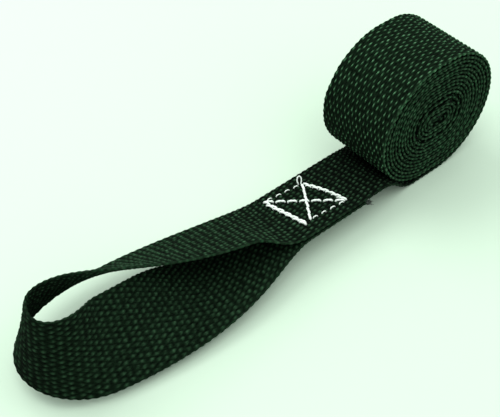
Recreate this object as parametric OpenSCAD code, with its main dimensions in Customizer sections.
// Hand wrap: one long cotton webbing tape, rolled up, its free end sewn
// back on itself with a crossed box stitch so that it makes a long loop.
// The table is z = 0, the roll's axis runs along Y above x = 0, and the loop
// lies towards -X. The far side is +Y, the near side is -Y.
// Lengths are millimetres; distances along the tail, lap and loop run from x = 0 towards -X.

/* [Webbing] */
// width of the tape
tape_width = 50; // [46:1:60]
// thickness of the tape
tape_thick = 2.2; // [1.2:0.1:2.3]
// gap left at a flexing section's end
end_gap = 0.05; // [0.02:0.01:0.2]

/* [Roll] */
// outer radius of the outermost half turn
roll_radius = 41.75; // [41.25:0.05:50]
// half the flat length the tape is wound on
roll_flat = 4.5; // [0:0.05:6]
// radial pitch from one turn to the next
roll_pitch = 2.4; // [2.3:0.05:2.45]
// number of half turns
half_turns = 30; // [26:1:30]
// first half turn (counted from outside, from 0) that carries the pile patch
pile_turn = 23; // [10:1:25]
// extra pitch at each half turn beside the pile patch
pile_room = 0.8; // [0.7:0.05:1]

/* [Unrolling section] */
// angle of each flexing arc of the outer turn
arc_deg = 20; // [10:5:30]
// angle still belonging to the tail
lead_deg = 10; // [5:1:20]

/* [Tail] */
// where the tail leaves the table
tail_flat = 12; // [8:1:20]
// where the tail hands over to the lap
tail_end = 50; // [40:1:60]

/* [Lap] */
// height of the upper layer's far edge, at mid thickness
lap_far_z = 8.5; // [3.5:0.1:10]
// sideways place of the lap's far edge
lap_far_y = 20; // [15:0.1:25]
// slope of the lap across its width
lap_tilt = 12; // [0:0.1:25]
// where the cut end stops
cut_end = 60; // [55:1:65]
// where the lap hands over to the loop
lap_end = 101.5; // [101.2:0.1:110]
// air between the two sewn layers
lap_gap = 0.15; // [0.05:0.05:0.5]

/* [Loop, path of its lower edge] */
// end of the far side: distance
far_x = 247.5; // [230:0.1:280]
// end of the far side: sideways place
far_y = 28; // [20:0.1:50]
// end of the far side: height
far_z = 14.1; // [1.2:0.1:15]
// end of the far side: heading
far_heading = 199.5; // [185:0.1:225]
// start of the near side: distance
near_x = 238.5; // [220:0.1:270]
// start of the near side: sideways place
near_y = -35.1; // [-50:0.1:-20]
// start of the near side: height
near_z = 4.8; // [1.2:0.1:15]
// start of the near side: heading
near_heading = 348.8; // [330:0.1:360]
// curve handle leaving the lap
handle_out = 25; // [10:0.1:60]
// curve handle arriving at the far side's end
handle_far = 45.2; // [10:0.1:60]
// curve handle entering the tip
handle_tip_in = 47.7; // [10:0.1:60]
// curve handle leaving the tip
handle_tip_out = 34.5; // [10:0.1:60]
// curve handle starting the near side
handle_near = 86; // [10:0.1:90]
// curve handle arriving back at the lap
handle_back = 26.9; // [10:0.1:60]

/* [Loop, how far the tape stands up] */
// slope reached soon after the lap
tilt_start = 25.1; // [16:0.1:50]
// steepest slope
tilt_top = 96.6; // [80:0.1:100]
// slope half way back along the near side
tilt_mid = 56.5; // [30:0.1:80]

/* [Sewing] */
// corner by the roll, far edge: distance along
box_roll_far_x = 73; // [71:0.1:74]
// corner by the roll, far edge: distance in
box_roll_far_y = 10; // [4:0.1:12]
// corner by the loop, far edge: distance along
box_loop_far_x = 99.8; // [96:0.1:99.8]
// corner by the loop, far edge: distance in
box_loop_far_y = 5.7; // [4:0.1:12]
// corner by the loop, near edge: distance along
box_loop_near_x = 97.8; // [94:0.1:99.8]
// corner by the loop, near edge: distance in
box_loop_near_y = 40.3; // [38:0.1:46]
// corner by the roll, near edge: distance along
box_roll_near_x = 68.2; // [67:0.1:74]
// corner by the roll, near edge: distance in
box_roll_near_y = 41.8; // [38:0.1:46]
// stitch pitch
stitch_pitch = 6.3; // [2:0.1:8]
// thread width
thread_width = 0.9; // [0.5:0.1:1.5]

/* [Closure patches] */
// thickness of the hook and pile patches
patch_thick = 1.3; // [0.8:0.1:1.5]
// how far the patches stay inside the tape's edges
patch_edge = 4; // [0:0.5:6]

/* [Hidden] */
$fn = 72;
cloth = [0.045, 0.075, 0.05];
white = [0.93, 0.95, 0.93];
patch_color = [0.03, 0.04, 0.035];
patch_thread = [0.1, 0.12, 0.1];

flex_arcs = 4;
// end_gap as an angle at the roll's outer radius
gap_deg = end_gap / roll_radius * 180 / PI;

// ---- small functions ----
function clamp(v, low, high) = min(max(v, low), high);
// smooth step from 0 to 1 over span = [start, end], with soft ends
function ease(v, span) =
    let(t = clamp((v - span[0]) / (span[1] - span[0]), 0, 1))
    t * t * t * (t * (6 * t - 15) + 10);
function unit(v) = v / norm(v);
// cubic Bezier curve through start and end, with two handle points
function bezier(start, handle_1, handle_2, end, t) =
    start * pow(1 - t, 3) + handle_1 * 3 * t * pow(1 - t, 2)
    + handle_2 * 3 * t * t * (1 - t) + end * pow(t, 3);

// ---- roll: a spiral of half turns, each on its own centre ----
// Even half turns bulge towards +X and run from bottom to top, odd ones the other way.
function is_even(j) = j % 2 == 0;
function start_deg(j) = is_even(j) ? -90 : 90;
function turn_radius(j) =
    roll_radius - j * roll_pitch / 2 - pile_room * clamp(j - (pile_turn - 2), 0, 3);
// centre height of half turn j, so that neighbours meet tangentially
function turn_z(j) = j == 0 ? roll_radius
    : turn_z(j - 1) + (is_even(j) ? -1 : 1) * (turn_radius(j - 1) - turn_radius(j));
function turn_x(j) = is_even(j) ? roll_flat : -roll_flat;

// half turn j of a layer whose outer face is "depth" inside the tape's outer face
module half_turn(j, depth = 0, thick = tape_thick, width = tape_width, from = 0, to = 180) {
    translate([turn_x(j), 0, turn_z(j)])
        rotate([90, 0, 0]) rotate([0, 0, start_deg(j) + from])
            rotate_extrude(angle = to - from)
                translate([turn_radius(j) - depth - thick, -width / 2]) square([thick, width]);
}

// the flat between half turn j and half turn j+1
module flat_run(j, depth = 0, thick = tape_thick, width = tape_width) {
    z = is_even(j) ? turn_z(j) + turn_radius(j) - depth - thick
        : turn_z(j) - turn_radius(j) + depth;
    translate([-roll_flat, -width / 2, z]) cube([2 * roll_flat, width, thick]);
}

module coil() {
    color(cloth) union() {
        half_turn(0, from = lead_deg + flex_arcs * arc_deg + gap_deg);
        flat_run(0);
        for (j = [1 : half_turns - 1]) {
            half_turn(j);
            if (j < half_turns - 1) flat_run(j);
        }
    }
}

// arc k (from 1) of the outer turn, counted from the tail
module flex_arc(k) {
    color(cloth) half_turn(0, from = lead_deg + (k - 1) * arc_deg + gap_deg,
        to = lead_deg + k * arc_deg - gap_deg);
}
module turn_1() { flex_arc(1); }
module turn_2() { flex_arc(2); }
module turn_3() { flex_arc(3); }
module turn_4() { flex_arc(4); }

// ---- a tape swept between two edges, given as equally long lists of points ----
module tape(edge_p, edge_q) {
    last_i = len(edge_p) - 1;
    middle = (edge_p + edge_q) / 2;
    // half the thickness, square to the tape's face
    offsets = [for (i = [0 : last_i])
        unit(cross(edge_q[i] - edge_p[i], middle[max(i - 1, 0)] - middle[min(i + 1, last_i)]))
            * tape_thick / 2];
    // four corners at each station
    points = [for (i = [0 : last_i]) each [edge_p[i] + offsets[i], edge_q[i] + offsets[i],
                                           edge_q[i] - offsets[i], edge_p[i] - offsets[i]]];
    sides = [for (i = [0 : last_i - 1], k = [0 : 3])
        let(a = 4 * i + k, b = 4 * i + (k + 1) % 4)
        each [[a, b, b + 4], [a, b + 4, a + 4]]];
    end = 4 * last_i;
    caps = [[0, 3, 2], [0, 2, 1], [end, end + 1, end + 2], [end, end + 2, end + 3]];
    polyhedron(points = points, faces = concat(sides, caps), convexity = 8);
}

// ---- tail: from under the roll to the lap, turning up its near edge ----
tail_steps = 19;
// the lap's slope is reached 2 mm before the tail ends
tail_rise = [tail_flat, tail_end - 2];

function tail_far_edge(x) = let(s = ease(-x, tail_rise))
    [x, tape_width / 2 + s * (lap_far_y - tape_width / 2),
     tape_thick / 2 + s * (lap_far_z - tape_thick / 2)];
function tail_near_edge(x) = let(tilt = lap_tilt * ease(-x, tail_rise))
    tail_far_edge(x) + tape_width * [0, -cos(tilt), sin(tilt)];

module tail() {
    stations = [for (i = [0 : tail_steps])
        -tail_flat - (tail_end - end_gap - tail_flat) * i / tail_steps];
    color(cloth) union() {
        tape([for (x = stations) tail_far_edge(x)], [for (x = stations) tail_near_edge(x)]);
        translate([-tail_flat, -tape_width / 2, 0])
            cube([tail_flat + roll_flat, tape_width, tape_thick]);
        half_turn(0, to = lead_deg - gap_deg);
    }
}

// ---- lap: two layers, both sloping by lap_tilt ----
// heights of the outer faces and of the middle of the gap, in the lap's frame
lap_top_face = tape_thick / 2;
lap_bottom_face = -tape_thick * 1.5 - lap_gap;
lap_seam = -tape_thick / 2 - lap_gap / 2;

// local frame: origin on the far edge at mid thickness of the upper layer,
// x along the tape, -y across it towards the near edge, z up
module lap_frame() {
    translate([0, lap_far_y, lap_far_z]) rotate([-lap_tilt, 0, 0]) children();
}

// a layer reaching from the loop towards the roll, its underside at height z
module lap_layer(length, z) {
    color(cloth) lap_frame() translate([-lap_end + end_gap, -tape_width, z])
        cube([length, tape_width, tape_thick]);
}
module lap_top() { lap_layer(lap_end - tail_end - 2 * end_gap, -tape_thick / 2); }
module lap_bottom() { lap_layer(lap_end - cut_end - end_gap, lap_bottom_face); }

// ---- loop: the lower edge follows three curves, the tape stands up from it ----
lap_across = [0, -cos(lap_tilt), sin(lap_tilt)];
lap_up = [0, sin(lap_tilt), cos(lap_tilt)];
loop_start = [-lap_end - end_gap, lap_far_y, lap_far_z];
loop_end = loop_start + tape_width * lap_across - (tape_thick + lap_gap) * lap_up;
far_point = [-far_x, far_y, far_z];
near_point = [-near_x, near_y, near_z];
far_dir = [cos(far_heading), sin(far_heading), 0];
near_dir = [cos(near_heading), sin(near_heading), 0];
away = [-1, 0, 0];

// v runs 0 to 1 along the far side, to 2 round the tip, to 3 along the near side
function loop_curve(v) =
    v <= 1 ? bezier(loop_start, loop_start + away * handle_out,
                    far_point - far_dir * handle_far, far_point, v)
    : v <= 2 ? bezier(far_point, far_point + far_dir * handle_tip_in,
                      near_point - near_dir * handle_tip_out, near_point, v - 1)
    : bezier(near_point, near_point + near_dir * handle_near,
             loop_end + away * handle_back, loop_end, v - 2);

// the curve sampled, and the length along it up to each sample
samples = 180;
path = [for (i = [0 : samples]) loop_curve(3 * i / samples)];
function length_to(i) = i == 0 ? 0 : length_to(i - 1) + norm(path[i] - path[i - 1]);
lengths = [for (i = [0 : samples]) length_to(i)];
// first sample at or beyond length s
function seek(s, i = 1) = i >= samples || lengths[i] >= s ? i : seek(s, i + 1);

// u is the fraction of the loop's length, so stations are evenly spaced
function lower_edge(u) =
    let(s = u * lengths[samples], i = seek(s),
        f = (s - lengths[i - 1]) / (lengths[i] - lengths[i - 1]))
    path[i - 1] * (1 - f) + path[i] * f;

// spans of u over which the slope changes, ending parallel to the lap again
function loop_tilt(u) = lap_tilt
    + (tilt_start - lap_tilt) * ease(u, [0, 0.08])
    + (tilt_top - tilt_start) * ease(u, [0, 0.765])
    - (tilt_top - tilt_mid) * ease(u, [0.5, 0.671])
    - (tilt_mid + lap_tilt) * ease(u, [0.55, 0.987]);

// level direction square to the path, towards the inside of the loop
function inward(u) =
    let(d = lower_edge(min(u + 0.01, 1)) - lower_edge(max(u - 0.01, 0)),
        heading = unit([d[0], d[1], 0]))
    u <= 0 ? [0, -1, 0] : u >= 1 ? [0, 1, 0] : [-heading[1], heading[0], 0];
function upper_edge(u) = let(tilt = loop_tilt(u))
    lower_edge(u) + tape_width * (cos(tilt) * inward(u) + sin(tilt) * [0, 0, 1]);

module loop_strap() {
    steps = 96;
    color(cloth) tape([for (i = [0 : steps]) lower_edge(i / steps)],
                      [for (i = [0 : steps]) upper_edge(i / steps)]);
}

// ---- box stitch: each stitch is a bar on the face and a leg through the layer ----
bar_share = 0.68; // bar length as a share of the pitch
bar_thick = 0.6; // half of it sunk in the cloth
leg_width = 0.5;
leg_inset = 0.1; // from the bar's end
leg_proud = 0.2; // beyond the cloth's face
end_row_shift = 0.75; // each way, for the doubled rows

// corners in the lap's frame, a little out of square
corners = [[-box_roll_far_x, -box_roll_far_y], [-box_loop_far_x, -box_loop_far_y],
           [-box_loop_near_x, -box_loop_near_y], [-box_roll_near_x, -box_roll_near_y]];
// pairs of corners: doubled rows across the tape; single rows along it and crossed
end_rows = [[0, 3], [1, 2]];
single_rows = [[0, 1], [3, 2], [0, 2], [1, 3]];

// a row of stitches in the lap's frame, side = 1 top, -1 bottom
module stitch_row(start, end, side) {
    along = end - start;
    count = max(1, round(norm(along) / stitch_pitch));
    pitch = norm(along) / count;
    bar = pitch * bar_share;
    face = side > 0 ? lap_top_face : lap_bottom_face;
    leg_z = side > 0 ? lap_seam : face - leg_proud;
    for (i = [0 : count - 1])
        translate([start[0], start[1], 0]) rotate([0, 0, atan2(along[1], along[0])])
            translate([(i + 0.5) * pitch, 0, 0]) {
                translate([-bar / 2, -thread_width / 2, face - bar_thick / 2])
                    cube([bar, thread_width, bar_thick]);
                translate([bar / 2 - leg_inset - leg_width, -leg_width / 2, leg_z])
                    cube([leg_width, leg_width, tape_thick + lap_gap / 2 + leg_proud]);
            }
}

module box_stitch(side) {
    color(white) lap_frame() {
        for (shift = [-end_row_shift, end_row_shift], row = end_rows)
            stitch_row(corners[row[0]] + [shift, 0], corners[row[1]] + [shift, 0], side);
        for (row = single_rows)
            stitch_row(corners[row[0]], corners[row[1]], side);
    }
}
module box_stitch_needle() { box_stitch(1); }
module box_stitch_bobbin() { box_stitch(-1); }

// ---- hook and pile patches, each over two half turns inside the roll ----
patch_gap = 0.02; // between patch and tape
hook_turn = half_turns - 2;
hook_depth = tape_thick + patch_gap; // on the tape's inner face
pile_depth = -patch_thick - patch_gap; // on the tape's outer face

module patch(first, depth) {
    width = tape_width - 2 * patch_edge;
    color(patch_color) union() {
        half_turn(first, depth, patch_thick, width);
        flat_run(first, depth, patch_thick, width);
        half_turn(first + 1, depth, patch_thick, width);
    }
}
module hook_patch() { patch(hook_turn, hook_depth); }
module pile_patch() { patch(pile_turn, pile_depth); }

patch_stitch = [0.3, 0.6, 2]; // radial, across the tape, along it
patch_pitch = 4;
patch_row_inset = 2.5; // from the patch's edge

// a row of stitches near both long edges of a patch, on half turn j;
// depth is how far inside the tape's outer face the stitches lie
module patch_row(j, depth) {
    radius = turn_radius(j) - depth;
    count = max(1, round(PI * radius / patch_pitch));
    for (i = [0 : count - 1], side = [-1, 1])
        translate([turn_x(j), side * (tape_width / 2 - patch_edge - patch_row_inset), turn_z(j)])
            rotate([0, -(start_deg(j) + 180 * (i + 0.5) / count), 0])
                translate([radius, 0, 0] - patch_stitch / 2) cube(patch_stitch);
}

module patch_stitches() {
    color(patch_thread) for (k = [0, 1]) {
        patch_row(hook_turn + k, hook_depth + patch_thick);
        patch_row(pile_turn + k, pile_depth);
    }
}

coil();
turn_1();
turn_2();
turn_3();
turn_4();
tail();
lap_top();
lap_bottom();
loop_strap();
box_stitch_needle();
box_stitch_bobbin();
hook_patch();
pile_patch();
patch_stitches();
